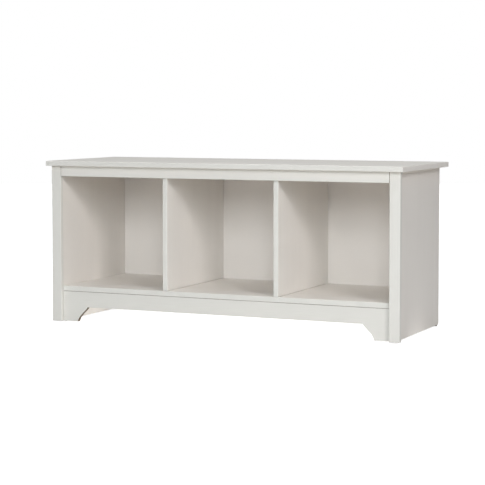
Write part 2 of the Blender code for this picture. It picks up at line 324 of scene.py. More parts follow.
class BenchStudio(bpy.types.PropertyGroup):
    """Floor, lights and camera."""

    room_light: FloatProperty(
        name="Room light",
        description="Strength of the even light from all round",
        default=0.04,
        min=0.0,
    )
    key_power: FloatProperty(
        name="Key power",
        description="Power of the light at the right, which shades the cubbies",
        default=108.0,
        min=0.0,
        unit="POWER",
    )
    front_power: FloatProperty(
        name="Front power",
        description="Power of the larger light a little right of the front",
        default=112.0,
        min=0.0,
        unit="POWER",
    )
    fill_power: FloatProperty(
        name="Fill power",
        description="Power of the broad low light straight in front",
        default=18.0,
        min=0.0,
        unit="POWER",
    )
    overhead_power: FloatProperty(
        name="Overhead power",
        description="Power of the broad light above the bench",
        default=77.0,
        min=0.0,
        unit="POWER",
    )
    rear_power: FloatProperty(
        name="Rear power",
        description="Power of the soft light behind the left end, for views of the back",
        default=55.0,
        min=0.0,
        unit="POWER",
    )
    floor_glow: FloatProperty(
        name="Floor glow",
        description="How bright the floor looks to the camera near the bench",
        default=0.85,
        min=0.0,
    )
    light_table: FloatProperty(
        name="Light table",
        description="Light that the floor below the bench gives to its underside",
        default=0.85,
        min=0.0,
    )
    floor_radius: FloatProperty(
        name="Floor radius",
        description="Radius of the round floor",
        default=9.0,
        min=1.0,
        unit="LENGTH",
    )
    lens: FloatProperty(
        name="Lens",
        description="Focal length of the camera in millimetres",
        default=117.6,
        min=1.0,
    )


# ---------------------------------------------------------------- finishes


def start_finish(name, colour, roughness, metallic=0.0):
    finish = bpy.data.materials.new(name)
    finish.use_nodes = True
    shader = finish.node_tree.nodes["Principled BSDF"]
    shader.inputs["Base Color"].default_value = (*colour, 1.0)
    shader.inputs["Roughness"].default_value = roughness
    shader.inputs["Metallic"].default_value = metallic
    finish.diffuse_color = (*colour, 1.0)
    return finish, finish.node_tree, shader


def stretched_place(tree, stretch):
    """The point on the piece, in metres, multiplied by its own factor on each axis."""
    place = tree.nodes.new("ShaderNodeTexCoord")
    mapping = tree.nodes.new("ShaderNodeMapping")
    mapping.inputs["Scale"].default_value = stretch
    tree.links.new(place.outputs["Object"], mapping.inputs["Vector"])
    return mapping.outputs["Vector"]


def cloud(tree, stretch, detail=2.0, roughness=0.5, distortion=0.0):
    noise = tree.nodes.new("ShaderNodeTexNoise")
    noise.inputs["Scale"].default_value = 1.0
    noise.inputs["Detail"].default_value = detail
    noise.inputs["Roughness"].default_value = roughness
    noise.inputs["Distortion"].default_value = distortion
    tree.links.new(stretched_place(tree, stretch), noise.inputs["Vector"])
    return noise.outputs["Fac"]


def chips(tree, stretch):
    cells = tree.nodes.new("ShaderNodeTexVoronoi")
    cells.inputs["Scale"].default_value = 1.0
    tree.links.new(stretched_place(tree, stretch), cells.inputs["Vector"])
    return cells.outputs["Color"]


def shades(tree, factor, stops):
    ramp = tree.nodes.new("ShaderNodeValToRGB")
    marks = ramp.color_ramp.elements
    while len(marks) < len(stops):
        marks.new(0.5)
    for mark, (position, colour) in zip(marks, stops):
        mark.position = position
        mark.color = (*colour, 1.0)
    tree.links.new(factor, ramp.inputs["Fac"])
    return ramp.outputs["Color"]


def remap(tree, factor, from_low, from_high, low, high):
    span = tree.nodes.new("ShaderNodeMapRange")
    span.inputs["From Min"].default_value = from_low
    span.inputs["From Max"].default_value = from_high
    span.inputs["To Min"].default_value = low
    span.inputs["To Max"].default_value = high
    tree.links.new(factor, span.inputs["Value"])
    return span.outputs["Result"]


def spread(tree, factor, low, high):
    """Turns the usual range of a noise into numbers from low to high."""
    return remap(tree, factor, 0.3, 0.7, low, high)


def radial(tree, reach):
    """1 at the origin, falling to 0 at its reach along each axis."""
    ball = tree.nodes.new("ShaderNodeTexGradient")
    ball.gradient_type = "SPHERICAL"
    shrink = tuple(1.0 / distance for distance in reach)
    tree.links.new(stretched_place(tree, shrink), ball.inputs["Vector"])
    return ball.outputs["Fac"]


def darken(tree, share, colour, shade):
    """Multiplies a share of the shade into the colour."""
    mix = tree.nodes.new("ShaderNodeMix")
    mix.data_type = "RGBA"
    mix.blend_type = "MULTIPLY"
    factor, first, second = mix.inputs[0], mix.inputs[6], mix.inputs[7]
    factor.default_value = share
    tree.links.new(colour, first)
    tree.links.new(shade, second)
    return mix.outputs[2]


def relief(tree, shader, layers):
    """Stacks bumps on the shader's normal.

    Each layer is a pattern, its height in metres and its strength."""
    normal = None
    for pattern, height, strength in layers:
        bump = tree.nodes.new("ShaderNodeBump")
        bump.inputs["Distance"].default_value = height
        bump.inputs["Strength"].default_value = strength
        tree.links.new(pattern, bump.inputs["Height"])
        if normal:
            tree.links.new(normal, bump.inputs["Normal"])
        normal = bump.outputs["Normal"]
    tree.links.new(normal, shader.inputs["Normal"])


def tone(colour, factor):
    return tuple(min(channel * factor, 1.0) for channel in colour)


def along(axis, length_scale, cross_scale):
    """Factors that draw a pattern out along one axis."""
    return tuple(length_scale if other == axis else cross_scale for other in (X, Y, Z))


def laminate(name, colour, axis, roughness):
    """Satin foil with faint pores that run along the board and a hint of uneven tone."""
    finish, tree, shader = start_finish(name, colour, roughness)
    pores = cloud(tree, along(axis, 14.0, 620.0), detail=3.0, roughness=0.6)
    figure = cloud(tree, along(axis, 1.6, 26.0), detail=3.0, distortion=0.4)
    peel = cloud(tree, (1500.0, 1500.0, 1500.0), detail=1.0)
    tint = shades(tree, figure, ((0.30, tone(colour, 0.985)), (0.70, tone(colour, 1.010))))
    fleck = shades(tree, pores, ((0.28, (0.93, 0.925, 0.915)), (0.44, WHITE)))
    tree.links.new(darken(tree, 0.5, tint, fleck), shader.inputs["Base Color"])
    gloss = spread(tree, pores, roughness + 0.07, roughness - 0.05)
    tree.links.new(gloss, shader.inputs["Roughness"])
    relief(tree, shader, ((pores, 0.00012, 0.35), (peel, 0.00003, 0.30)))
    return finish


def banding(name, colour):
    """Edge tape, a shade smoother than the faces."""
    finish, tree, shader = start_finish(name, colour, 0.38)
    figure = cloud(tree, (30.0, 30.0, 30.0), detail=2.0)
    peel = cloud(tree, (900.0, 900.0, 900.0), detail=2.0)
    tint = shades(tree, figure, ((0.30, tone(colour, 0.985)), (0.70, tone(colour, 1.010))))
    tree.links.new(tint, shader.inputs["Base Color"])
    tree.links.new(spread(tree, figure, 0.34, 0.43), shader.inputs["Roughness"])
    relief(tree, shader, ((peel, 0.00005, 0.30),))
    return finish


def chipboard(name, colour):
    """Sawn chipboard: pressed chips of mixed browns with dark pits between them."""
    finish, tree, shader = start_finish(name, colour, 0.85)
    flakes = chips(tree, (420.0, 420.0, 760.0))
    grey = tree.nodes.new("ShaderNodeRGBToBW")
    tree.links.new(flakes, grey.inputs["Color"])
    browns = shades(
        tree,
        grey.outputs["Val"],
        ((0.15, tone(colour, 0.55)), (0.50, colour), (0.85, tone(colour, 1.45))),
    )
    pits = cloud(tree, (900.0, 900.0, 900.0), detail=3.0, roughness=0.65)
    shade = shades(tree, pits, ((0.34, (0.45, 0.42, 0.40)), (0.50, WHITE)))
    tree.links.new(darken(tree, 0.8, browns, shade), shader.inputs["Base Color"])
    relief(tree, shader, ((pits, 0.0004, 0.8), (grey.outputs["Val"], 0.0002, 0.5)))
    return finish


def painted_hardboard(name, colour):
    """Thin roller-coated paint over hardboard, a little uneven."""
    finish, tree, shader = start_finish(name, colour, 0.55)
    roller = cloud(tree, (260.0, 260.0, 260.0), detail=3.0, roughness=0.6)
    patches = cloud(tree, (5.0, 5.0, 5.0), detail=2.0)
    tint = shades(tree, patches, ((0.30, tone(colour, 0.975)), (0.70, tone(colour, 1.010))))
    tree.links.new(tint, shader.inputs["Base Color"])
    tree.links.new(spread(tree, roller, 0.50, 0.62), shader.inputs["Roughness"])
    relief(tree, shader, ((roller, 0.00010, 0.35),))
    return finish


def raw_hardboard(name, colour):
    """The fibrous brown side of the hardboard."""
    finish, tree, shader = start_finish(name, colour, 0.78)
    fibres = cloud(tree, (900.0, 900.0, 240.0), detail=4.0, roughness=0.7, distortion=1.2)
    patches = cloud(tree, (7.0, 7.0, 7.0), detail=4.0, roughness=0.6)
    base = shades(tree, patches, ((0.30, tone(colour, 0.86)), (0.70, tone(colour, 1.10))))
    flecks = shades(tree, fibres, ((0.34, (0.62, 0.56, 0.50)), (0.50, WHITE), (0.72, WHITE)))
    tree.links.new(darken(tree, 0.75, base, flecks), shader.inputs["Base Color"])
    tree.links.new(spread(tree, fibres, 0.72, 0.86), shader.inputs["Roughness"])
    relief(tree, shader, ((fibres, 0.00025, 0.6),))
    return finish


def metal(name, colour, roughness, grain, height):
    """Plated or cast metal with a fine grain and uneven gloss."""
    finish, tree, shader = start_finish(name, colour, roughness, 1.0)
    skin = cloud(tree, (grain, grain, grain), detail=3.0, roughness=0.6)
    stain = cloud(tree, (180.0, 180.0, 180.0), detail=2.0)
    tint = shades(tree, stain, ((0.30, tone(colour, 0.82)), (0.70, tone(colour, 1.08))))
    tree.links.new(tint, shader.inputs["Base Color"])
    gloss = spread(tree, skin, roughness - 0.08, roughness + 0.14)
    tree.links.new(gloss, shader.inputs["Roughness"])
    relief(tree, shader, ((skin, height, 0.5),))
    return finish


def beech(name, colour, axis):
    """Beech turned along one axis, with short dark rays and long growth lines."""
    finish, tree, shader = start_finish(name, colour, 0.62)
    growth = cloud(tree, along(axis, 30.0, 700.0), detail=3.0, distortion=0.6)
    rays = cloud(tree, along(axis, 260.0, 1800.0), detail=1.0)
    base = shades(tree, growth, ((0.30, tone(colour, 0.78)), (0.70, tone(colour, 1.15))))
    dashes = shades(tree, rays, ((0.30, (0.60, 0.48, 0.36)), (0.42, WHITE)))
    tree.links.new(darken(tree, 0.7, base, dashes), shader.inputs["Base Color"])
    tree.links.new(spread(tree, growth, 0.56, 0.70), shader.inputs["Roughness"])
    relief(tree, shader, ((growth, 0.0001, 0.4),))
    return finish


def moulded_plastic(name, colour):
    """Matte moulded plastic with a fine spark-eroded texture."""
    finish, tree, shader = start_finish(name, colour, 0.48)
    texture = cloud(tree, (2200.0, 2200.0, 2200.0), detail=2.0)
    scuffs = cloud(tree, (500.0, 500.0, 120.0), detail=3.0)
    tint = shades(tree, scuffs, ((0.35, tone(colour, 0.90)), (0.75, tone(colour, 1.30))))
    tree.links.new(tint, shader.inputs["Base Color"])
    tree.links.new(spread(tree, scuffs, 0.42, 0.60), shader.inputs["Roughness"])
    relief(tree, shader, ((texture, 0.00006, 0.5),))
    return finish


def make_finishes():
    """Every finish once, by name."""
    colours = bpy.context.scene.bench_colours
    white = tuple(colours.laminate)
    # The frame foil is a darker copy of the white laminate: painted shade on the brightly lit front
    # faces.
    foil = tuple(colours.shaded_frame_foil)
    # The cubby laminate is a lighter copy of the white laminate: painted light in the shaded
    # cubbies.
    cubby = tuple(colours.cubby_laminate)
    made = {
        "band": banding("edge_band_white", white),
        # The frame tape is darker for the same reason: painted shade on front edges that face the
        # lights.
        "shaded_frame_band": banding("edge_band_frame_shaded", foil),
        # The seat tape is darker still: painted shade on the rounded seat edges that catch the
        # overhead light.
        "shaded_seat_band": banding("edge_band_seat_shaded", tuple(colours.shaded_seat_tape)),
        # The seat's underside is a darker warm beige: painted shade that darkens and warms the tops
        # of the cubbies.
        "underside_shade_x": laminate("underside_shade_foil", tuple(colours.underside_shade), X, 0.55),
        "chipboard": chipboard("chipboard_core", tuple(colours.chipboard)),
        "hardboard": painted_hardboard("hardboard_painted", tuple(colours.hardboard)),
        "hardboard_rear": raw_hardboard("hardboard_raw", tuple(colours.hardboard_rear)),
        "zinc": metal("zinc_die_cast", tuple(colours.zinc), 0.38, 1400.0, 0.00006),
        "bolt": metal("zinc_plate_bright", tuple(colours.bolt), 0.26, 2600.0, 0.00002),
        "screw": metal("steel_passivated", tuple(colours.screw), 0.32, 2200.0, 0.00002),
        "plastic": moulded_plastic("plastic_brown", tuple(colours.plastic)),
    }
    for axis in (X, Z):
        letter = AXIS_NAMES[axis]
        made[f"laminate_{letter}"] = laminate(f"laminate_white_{letter}", white, axis, 0.58)
        # The frame foil, darker than the white: painted shade on the lit front faces.
        made[f"foil_{letter}"] = laminate(f"foil_white_{letter}", foil, axis, 0.40)
        # The cubby laminate, lighter than the white: painted light inside the shaded cubbies.
        made[f"cubby_{letter}"] = laminate(f"laminate_cubby_{letter}", cubby, axis, 0.46)
    for axis, letter in enumerate(AXIS_NAMES):
        made[f"beech_{letter}"] = beech(f"beech_{letter}", tuple(colours.beech), axis)
    return made


FINISHES = {}


def finish_named(name):
    """A finish from the set, which is made when the first piece asks for one."""
    if not FINISHES:
        FINISHES.update(make_finishes())
    return FINISHES[name]


# ---------------------------------------------------------------- woodwork


def object_from(name, shape, finishes):
    """An object at the origin from a bmesh, which is freed."""
    mesh = bpy.data.meshes.new(name)
    shape.to_mesh(mesh)
    shape.free()
    if not mesh.polygons:
        raise RuntimeError(f"{name} came out with no faces")
    for finish in finishes:
        mesh.materials.append(finish)
    piece = bpy.data.objects.new(name, mesh)
    bpy.context.scene.collection.objects.link(piece)
    return piece


def hand_over(piece, slot, *nodes):
    """Gives the piece soft shading and its body, and hides the nodes it stands for. The slot is not
    used.
    """
    mesh = piece.data
    mesh.polygons.foreach_set("use_smooth", [True] * len(mesh.polygons))
    mesh.set_sharp_from_angle(angle=SHARP)
    normals = piece.modifiers.new("face_normals", "WEIGHTED_NORMAL")
    normals.keep_sharp = True
    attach(piece, ROOT)
    if nodes:
        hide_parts(*nodes)


def facing(axis, sign=1):
    """Turns +Z to point along an axis."""
    direction = Vector([sign if other == axis else 0 for other in (X, Y, Z)])
    return direction.to_track_quat("Z", "Y").to_matrix().to_4x4()


def drill_shape(node, axis, radius=None):
    """A round drill with the length and place of a fitting, and a little play."""
    play = bpy.context.scene.bench_sizes.drill_clearance
    low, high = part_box(node)
    size = high - low
    across = [size[other] for other in (X, Y, Z) if other != axis]
    reach = radius if radius else max(across) / 2
    shape = bmesh.new()
    bmesh.ops.create_cone(
        shape,
        cap_ends=True,
        segments=DRILL_SIDES,
        radius1=reach + play,
        radius2=reach + play,
        depth=size[axis] + 2 * play,
        matrix=Matrix.Translation((low + high) / 2) @ facing(axis),
    )
    for face in shape.faces:
        face.material_index = RAW
    return shape


def cut_away(piece, cutters):
    """Takes each cutter out of the piece for good, then removes the cutters."""
    for cutter in cutters:
        removal = piece.modifiers.new(cutter.name, "BOOLEAN")
        removal.operation = "DIFFERENCE"
        removal.solver = "EXACT"
        removal.object = cutter
    bpy.context.view_layer.update()
    graph = bpy.context.evaluated_depsgraph_get()
    finished = bpy.data.meshes.new_from_object(piece.evaluated_get(graph))
    piece.modifiers.clear()
    rough = piece.data
    kinds = [0] * len(finished.polygons)
    finished.polygons.foreach_get("material_index", kinds)
    finished.materials.clear()
    for finish in rough.materials:
        finished.materials.append(finish)
    finished.polygons.foreach_set("material_index", kinds)
    piece.data = finished
    bpy.data.meshes.remove(rough)
    for cutter in cutters:
        waste = cutter.data
        bpy.data.objects.remove(cutter)
        bpy.data.meshes.remove(waste)
    if not finished.polygons:
        raise RuntimeError(f"{piece.name} was cut away whole")
    finished.name = piece.name
    return piece


def drilled(piece, fittings):
    """Drills the piece for its fittings.

    Each is a node, the axis it lies along and, where the node is wider, the hole's radius."""
    cutters = []
    for node, axis, *radius in fittings:
        shape = drill_shape(node, axis, *radius)
        cutters.append(object_from(f"drill_{node}", shape, ()))
    return cut_away(piece, cutters)


def kind_of_face(normal, bands, raws):
    """The material place of a face, from the (axis, sign) directions that are banded or sawn."""
    for kind, directions in ((BAND, bands), (RAW, raws)):
        for axis, sign in directions:
            if normal[axis] * sign > PARALLEL:
                return kind
    return FACE


def board(name, node, finishes, bands, raws, fittings, radius, trim=0.0):
    """A flat board in its node's place: sawn, banded, eased along its edges and drilled.

    The trim is taken off both of its ends along X."""
    low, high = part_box(node)
    low.x += trim
    high.x -= trim
    shape = bmesh.new()
    place = Matrix.LocRotScale((low + high) / 2, None, high - low)
    bmesh.ops.create_cube(shape, size=1.0, matrix=place)
    for face in shape.faces:
        face.material_index = kind_of_face(face.normal, bands, raws)
    bmesh.ops.bevel(
        shape,
        geom=shape.edges[:],
        offset=radius,
        segments=bpy.context.scene.bench_sizes.edge_steps,
        profile=0.5,
        affect="EDGES",
        material=-1,
    )
    return drilled(object_from(name, shape, finishes), fittings)


def several(pattern, *choices):
    """Node names from a pattern and the words to put into it."""
    names = [pattern]
    for words in choices:
        names = [name.replace("*", word, 1) for name in names for word in words]
    return names


def with_axis(axis, names):
    return [(name, axis) for name in names]


def board_finishes(face, band):
    """Finishes in the order of a board's material places."""
    return [finish_named(face), finish_named(band), finish_named("chipboard")]


class BENCH_OT_top(bpy.types.Operator):
    """Make the seat board, banded along its front and rear edges"""

    bl_idname = "bench.top"
    bl_label = "Seat Board"

    def execute(self, context):
        fittings = with_axis(Z, several("cam_bolt_top_*_*", BOTH, ENDS))
        fittings += with_axis(Z, several("divider_dowel_*_*", BOTH, ENDS))
        fittings += with_axis(Z, several("rail_top_dowel_*", BOTH))
        bands = ((Y, -1), (Y, 1))
        radius = context.scene.bench_sizes.top_radius
        # The taped edges take the darker seat tape: painted shade on rounded arrises that catch the
        # overhead light.
        finishes = board_finishes("laminate_x", "shaded_seat_band")
        top = board("seat_board", "seat_top", finishes, bands, (), fittings, radius)
        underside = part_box("seat_top")[0].z + MERGE
        # The underside faces take the darker warm beige: painted shade for the tops of the cubbies
        # below.
        top.data.materials.append(finish_named("underside_shade_x"))
        for face in top.data.polygons:
            if face.center.z < underside:
                face.material_index = len(finishes)
        hand_over(top, "white_laminate", "seat_top")
        return {"FINISHED"}


class BENCH_OT_end_panels(bpy.types.Operator):
    """Make the two end panels, drilled for cam locks, bolts, dowels and glides"""

    bl_idname = "bench.end_panels"
    bl_label = "End Panels"

    def execute(self, context):
        sizes = context.scene.bench_sizes
        finishes = board_finishes("laminate_z", "band")
        bands = ((Y, -1), (Y, 1))
        raws = ((Z, -1), (Z, 1))
        radius = sizes.board_radius
        pin = sizes.glide_pin_radius
        for side in BOTH:
            fittings = with_axis(X, several(f"cam_lock_top_{side}_*", ENDS))
            fittings += with_axis(Z, several(f"cam_bolt_top_{side}_*", ENDS))
            fittings += with_axis(X, several(f"cam_bolt_shelf_{side}_*", ENDS))
            fittings += with_axis(Y, several(f"stile_dowel_{side}_*", LEVELS))
            fittings += [(name, Z, pin) for name in several(f"floor_glide_{side}_*", ENDS)]
            node = f"{side}_side_panel"
            panel = board(f"{side}_end_panel", node, finishes, bands, raws, fittings, radius)
            hand_over(panel, "white_laminate", node)
        return {"FINISHED"}


class BENCH_OT_face_frame(bpy.types.Operator):
    """Make the two stiles and the rail between them"""

    bl_idname = "bench.face_frame"
    bl_label = "Face Frame"

    def execute(self, context):
        radius = context.scene.bench_sizes.board_radius
        # The stiles and the rail take the darker frame foil and tape: painted shade on their lit
        # front faces.
        finishes = board_finishes("foil_z", "shaded_frame_band")
        raws = ((Z, -1), (Z, 1))
        for side in BOTH:
            fittings = with_axis(Y, several(f"stile_dowel_{side}_*", LEVELS))
            fittings += [(f"rail_end_dowel_{side}", X)]
            node = f"{side}_front_stile"
            stile = board(f"{side}_face_stile", node, finishes, (), raws, fittings, radius)
            hand_over(stile, "white_laminate", node)
        fittings = with_axis(X, several("rail_end_dowel_*", BOTH))
        fittings += with_axis(Z, several("rail_top_dowel_*", BOTH))
        raws = ((X, -1), (X, 1))
        gap = context.scene.bench_sizes.rail_gap
        finishes = board_finishes("foil_x", "shaded_frame_band")
        rail = board("face_rail", "top_front_rail", finishes, (), raws, fittings, radius, gap)
        hand_over(rail, "white_laminate", "top_front_rail")
        return {"FINISHED"}


class BENCH_OT_cubby_boards(bpy.types.Operator):
    """Make the cubby floor and the two dividers that stand on it"""

    bl_idname = "bench.cubby_boards"
    bl_label = "Cubby Boards"

    def execute(self, context):
        radius = context.scene.bench_sizes.board_radius
        front = ((Y, -1),)
        fittings = with_axis(Z, several("cam_lock_shelf_*_*", BOTH, ENDS))
        fittings += with_axis(X, several("cam_bolt_shelf_*_*", BOTH, ENDS))
        fittings += with_axis(Z, several("divider_screw_*_*", BOTH, ENDS))
        fittings += with_axis(Z, several("front_apron_dowel_*", APRON_DOWELS))
        fittings += with_axis(Z, several("rear_apron_dowel_*", BOTH))
        raws = ((X, -1), (X, 1), (Y, 1))
        # The shelf and dividers take the lighter cubby laminate, painted light in the shaded
        # cubbies, and the darker frame tape on their front edges, painted shade.
        finishes = board_finishes("cubby_x", "shaded_frame_band")
        shelf = board("cubby_floor", "bottom_shelf", finishes, front, raws, fittings, radius)
        hand_over(shelf, "cubby_laminate", "bottom_shelf")
        finishes = board_finishes("cubby_z", "shaded_frame_band")
        raws = ((Z, -1), (Z, 1), (Y, 1))
        for side in BOTH:
            fittings = with_axis(Z, several(f"divider_screw_{side}_*", ENDS))
            fittings += with_axis(Z, several(f"divider_dowel_{side}_*", ENDS))
            node = f"{side}_divider"
            divider = board(f"{side}_cubby_divider", node, finishes, front, raws, fittings, radius)
            hand_over(divider, "cubby_laminate", node)
        return {"FINISHED"}


class BENCH_OT_aprons(bpy.types.Operator):
    """Make the scrolled front apron and the straight one behind it"""

    bl_idname = "bench.aprons"
    bl_label = "Aprons"

    def execute(self, context):
        sizes = context.scene.bench_sizes
        low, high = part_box("front_apron")
        shape = bmesh.new()
        shape.from_mesh(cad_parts["front_apron"].data)
        bmesh.ops.remove_doubles(shape, verts=shape.verts, dist=MERGE)
        bmesh.ops.dissolve_limit(shape, angle_limit=FLAT, verts=shape.verts, edges=shape.edges)
        upper = [vert for vert in shape.verts if vert.co.z > high.z - MERGE]
        bmesh.ops.translate(shape, vec=(0.0, 0.0, -sizes.shadow_gap), verts=upper)
        for edge, inward in ((low.x, 1.0), (high.x, -1.0)):
            ends = [vert for vert in shape.verts if abs(vert.co.x - edge) < MERGE]
            bmesh.ops.translate(shape, vec=(inward * sizes.apron_gap, 0.0, 0.0), verts=ends)
        shape.normal_update()
        for face in shape.faces:
            face.material_index = FACE if abs(face.normal.y) > PARALLEL else RAW
        arrises = [
            edge
            for edge in shape.edges
            if len({face.material_index for face in edge.link_faces}) == 2
        ]
        bmesh.ops.bevel(
            shape,
            geom=arrises,
            offset=sizes.apron_radius,
            segments=sizes.edge_steps,
            profile=0.5,
            affect="EDGES",
            material=FACE,
        )
        # The apron takes the darker frame foil and tape: painted shade on its lit front face.
        apron = object_from("scrolled_apron", shape, board_finishes("foil_x", "shaded_frame_band"))
        hand_over(apron, "white_laminate", "front_apron")
        fittings = with_axis(Z, several("rear_apron_dowel_*", BOTH))
        finishes = board_finishes("laminate_x", "band")
        bands = ((Z, -1),)
        raws = ((X, -1), (X, 1), (Z, 1))
        radius = sizes.board_radius
        rear = board("rear_stretcher", "rear_apron", finishes, bands, raws, fittings, radius)
        hand_over(rear, "white_laminate", "rear_apron")
        return {"FINISHED"}


def pin_places(low, high, spacing, inset):
    """Even places in X and Z round the edge of a panel."""
    places = []
    width = high.x - low.x - 2 * inset
    height = high.z - low.z - 2 * inset
    columns = math.ceil(width / spacing)
    rows = math.ceil(height / spacing)
    for number in range(columns + 1):
        x = low.x + inset + width * number / columns
        places += [(x, low.z + inset), (x, high.z - inset)]
    for number in range(1, rows):
        z = low.z + inset + height * number / rows
        places += [(low.x + inset, z), (high.x - inset, z)]
    return places


class BENCH_OT_back(bpy.types.Operator):
    """Make the hardboard back and the pins that hold it"""

    bl_idname = "bench.back"
    bl_label = "Hardboard Back"

    def execute(self, context):
        sizes = context.scene.bench_sizes
        rear = finish_named("hardboard_rear")
        finishes = [finish_named("hardboard"), rear, rear]
        raws = ((X, -1), (X, 1), (Y, 1), (Z, -1), (Z, 1))
        radius = sizes.hardboard_radius
        back = board("hardboard_back", "back_panel", finishes, (), raws, (), radius)
        hand_over(back, "white_hardboard", "back_panel")
        low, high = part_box("back_panel")
        proud = FRAME_BOX[1].y - high.y
        panel_low, panel_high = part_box("left_side_panel")
        inset = (panel_low.x + panel_high.x) / 2 - low.x
        shape = bmesh.new()
        for x, z in pin_places(low, high, sizes.pin_spacing, inset):
            bmesh.ops.create_cone(
                shape,
                cap_ends=True,
                segments=PIN_SIDES,
                radius1=sizes.pin_head_radius,
                radius2=sizes.pin_head_radius * PIN_TAPER,
                depth=proud,
                matrix=Matrix.Translation((x, high.y + proud / 2, z)) @ facing(Y),
            )
        pins = object_from("panel_pins", shape, [finish_named("bolt")])
        hand_over(pins, "zinc_bolt")
        return {"FINISHED"}


def turned(profile, matrix):
    """A closed shape from (radius, height) points spun about Z, put in place by the matrix."""
    shape = bmesh.new()
    points = [shape.verts.new((radius, 0.0, height)) for radius, height in profile]
    edges = [shape.edges.new(pair) for pair in zip(points, points[1:])]
    bmesh.ops.spin(
        shape,
        geom=points + edges,
        cent=(0, 0, 0),
        axis=(0, 0, 1),
        angle=math.tau,
        steps=TURNED_STEPS,
        use_merge=True,
    )
    bmesh.ops.remove_doubles(shape, verts=shape.verts, dist=MERGE)
    bmesh.ops.recalc_face_normals(shape, faces=shape.faces)
    bmesh.ops.transform(shape, matrix=matrix, verts=shape.verts)
    return shape


def blade(name, turn, matrix):
    """A tapered blade that cuts one bar of a cross recess."""
    shape = bmesh.new()
    sides = Matrix.Diagonal((CROSS_LENGTH, CROSS_WIDTH, 2 * CROSS_DEPTH, 1.0))
    bmesh.ops.create_cube(shape, size=1.0, matrix=sides)
    tip = [vert for vert in shape.verts if vert.co.z > 0]
    bmesh.ops.scale(shape, vec=CROSS_TAPER, verts=tip)
    place = matrix @ Matrix.Rotation(turn, 4, "Z")
    bmesh.ops.transform(shape, matrix=place, verts=shape.verts)
    return object_from(name, shape, ())


def cam_profile(radius, depth):
    """A sunk face, a rounded rim and a waist, from the face of the board inwards."""
    return (
        (0.0, 0.0003),
        (radius - 0.0018, 0.0003),
        (radius - 0.0014, 0.0),
        (radius - CAM_RIM, 0.0),
        (radius, CAM_RIM),
        (radius, depth * 0.30),
        (radius - CAM_WAIST, depth * 0.36),
        (radius - CAM_WAIST, depth * 0.74),
        (radius, depth * 0.80),
        (radius, depth - CAM_RIM),
        (radius - CAM_RIM, depth),
        (0.0, depth),
    )


class BENCH_OT_cam_locks(bpy.types.Operator):
    """Make the eight cam locks, each with a cross recess and a pointer"""

    bl_idname = "bench.cam_locks"
    bl_label = "Cam Locks"

    def execute(self, context):
        for level, axis in (("top", X), ("shelf", Z)):
            for side, sign in SIDES:
                for end in ENDS:
                    node = f"cam_lock_{level}_{side}_{end}"
                    self.make_cam(node, axis, sign if level == "top" else 1)
        return {"FINISHED"}

    def make_cam(self, node, axis, inward):
        low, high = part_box(node)
        size = high - low
        radius = max(size[other] for other in (X, Y, Z) if other != axis) / 2
        depth = size[axis]
        face = (low + high) / 2
        face[axis] = low[axis] if inward > 0 else high[axis]
        place = Matrix.Translation(face) @ facing(axis, inward)
        shape = turned(cam_profile(radius, depth), place)
        cam = object_from(node.replace("cam_lock", "cam"), shape, [finish_named("zinc")])
        cutters = [
            blade(f"{cam.name}_bar", 0.0, place),
            blade(f"{cam.name}_cross", math.pi / 2, place),
        ]
        pointer = bmesh.new()
        aside = radius * POINTER_PLACE
        bmesh.ops.create_cone(
            pointer,
            cap_ends=True,
            segments=3,
            radius1=POINTER_RADIUS,
            radius2=POINTER_RADIUS,
            depth=POINTER_DEPTH,
            matrix=place @ Matrix.Translation((aside, aside, 0.0003)),
        )
        cutters.append(object_from(f"{cam.name}_pointer", pointer, ()))
        cut_away(cam, cutters)
        hand_over(cam, "zinc_cam", node)


def screw_profile(length, head, shank):
    """A countersunk head, a plain shank, thread rings and a point, from the head up."""
    height = length * THREAD_START
    core = shank - THREAD_DEPTH
    points = [
        (0.0, 0.0),
        (head - 0.0004, 0.0),
        (head, 0.0004),
        (head, 0.0011),
        (shank, 0.0032),
        (shank, height),
    ]
    while height + THREAD_PITCH < length - THREAD_END:
        points += [
            (core, height + THREAD_PITCH * 0.25),
            (core, height + THREAD_PITCH * 0.65),
            (shank, height + THREAD_PITCH),
        ]
        height += THREAD_PITCH
    points += [(shank * 0.75, length - 0.003), (shank * 0.3, length - 0.0005), (0.0, length)]
    return points


class BENCH_OT_screws(bpy.types.Operator):
    """Make the four divider screws with hexagon sockets, and finish the cam bolts"""

    bl_idname = "bench.screws"
    bl_label = "Screws and Bolts"

    def execute(self, context):
        for side in BOTH:
            for end in ENDS:
                node = f"divider_screw_{side}_{end}"
                low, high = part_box(node)
                head = (high.x - low.x) / 2
                foot = Vector(((low.x + high.x) / 2, (low.y + high.y) / 2, low.z))
                place = Matrix.Translation(foot)
                shape = turned(screw_profile(high.z - low.z, head, head / 2), place)
                screw = object_from(f"shelf_screw_{side}_{end}", shape, [finish_named("screw")])
                socket = bmesh.new()
                bmesh.ops.create_cone(
                    socket,
                    cap_ends=True,
                    segments=6,
                    radius1=SOCKET_MOUTH,
                    radius2=SOCKET_FLOOR,
                    depth=2 * SOCKET_DEPTH,
                    matrix=place,
                )
                cut_away(screw, [object_from(f"socket_{side}_{end}", socket, ())])
                hand_over(screw, "steel_screw", node)
        for name in several("cam_bolt_*_*_*", ("top", "shelf"), BOTH, ENDS):
            refinish(name, finish_named("bolt"))
        return {"FINISHED"}


def refinish(node, finish):
    """Gives a frame node that stays a new finish."""
    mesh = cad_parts[node].data
    if not mesh.materials:
        mesh.materials.append(finish)
    for number in range(len(mesh.materials)):
        mesh.materials[number] = finish


def raise_face(shape, face, rise, factor):
    """Extrudes an end face along Z, resizing it on the way, and gives the new end."""
    made = bmesh.ops.extrude_face_region(shape, geom=[face])["geom"]
    corners = [item for item in made if isinstance(item, bmesh.types.BMVert)]
    bmesh.ops.translate(shape, vec=(0.0, 0.0, rise), verts=corners)
    bmesh.ops.scale(shape, vec=(factor, factor, 1.0), verts=corners)
    return next(item for item in made if isinstance(item, bmesh.types.BMFace))


